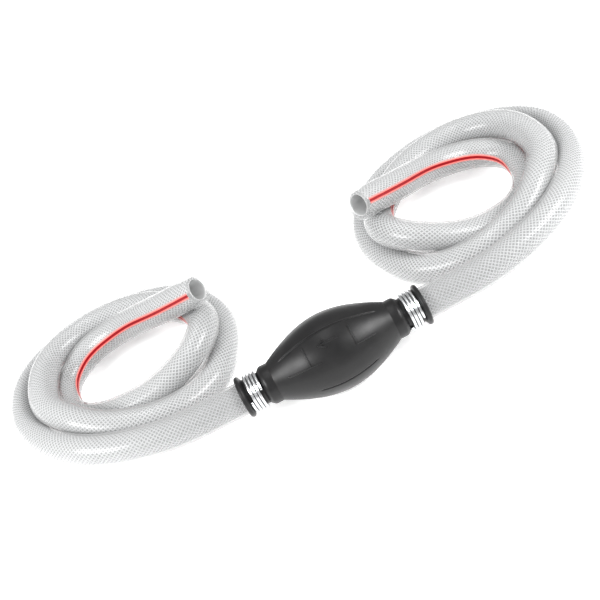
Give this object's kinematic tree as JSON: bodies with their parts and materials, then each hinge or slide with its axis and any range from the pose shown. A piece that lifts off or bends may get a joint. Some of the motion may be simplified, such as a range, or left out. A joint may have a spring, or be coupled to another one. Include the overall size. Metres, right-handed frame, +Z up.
{
  "type": "hand siphon hose with primer bulb",
  "caption": "Hand siphon with a black rubber primer bulb, wound wire clamps and two clear braided hoses, each loosely coiled.",
  "frame": {"origin": "on the floor under the middle of the bulb", "axes": "+X along the bulb from the outlet to the inlet, +Z up, the hose coils on the +Y side"},
  "size_m": [0.396, 0.178, 0.0619],
  "materials": {
    "bulb_rubber": "satin black moulded rubber",
    "clamp_wire": "bright zinc-plated spring wire",
    "hose_pvc": "clear flexible PVC with a white yarn braid and one red stripe",
    "valve_brass": "turned",
    "seat_rubber": "matte",
    "ball_steel": "polished stainless steel",
    "cage_plastic": "moulded acetal"
  },
  "bodies": {
    "root": {"inlet_neck": "bulb_rubber", "outlet_neck": "bulb_rubber", "inlet_clamp": "clamp_wire", "outlet_clamp": "clamp_wire", "inlet_valve_body": "valve_brass", "inlet_valve_seat": "seat_rubber", "inlet_valve_spring": "ball_steel", "inlet_valve_cage": "cage_plastic", "outlet_valve_body": "valve_brass", "outlet_valve_seat": "seat_rubber", "outlet_valve_spring": "ball_steel", "outlet_valve_cage": "cage_plastic", "inlet_hose_tail": "hose_pvc", "inlet_hose_lead": "hose_pvc", "inlet_hose_coil": "hose_pvc", "inlet_hose_end": "hose_pvc", "outlet_hose_tail": "hose_pvc", "outlet_hose_lead": "hose_pvc", "outlet_hose_coil": "hose_pvc", "outlet_hose_end": "hose_pvc"},
    "squeeze_belly": {"bulb_belly": "bulb_rubber"},
    "inlet_ball": {"inlet_valve_ball": "ball_steel"},
    "outlet_ball": {"outlet_valve_ball": "ball_steel"}
  },
  "joints": [
    {"name": "bulb_squeeze", "type": "slide", "parent": "root", "child": "squeeze_belly", "axis": [0, 0, -1], "range_m": [0, 0.012], "stiffness_N_per_m": 900, "springref_m": -0.004, "deforming": ["bulb_belly"]},
    {"name": "inlet_valve_lift", "type": "slide", "parent": "root", "child": "inlet_ball", "axis": [-1, 0, 0], "range_m": [0, 0.0025], "stiffness_N_per_m": 40, "springref_m": -0.0015, "deforming": ["inlet_valve_spring"]},
    {"name": "outlet_valve_lift", "type": "slide", "parent": "root", "child": "outlet_ball", "axis": [-1, 0, 0], "range_m": [0, 0.0025], "stiffness_N_per_m": 40, "springref_m": -0.0015, "deforming": ["outlet_valve_spring"]}
  ]
}
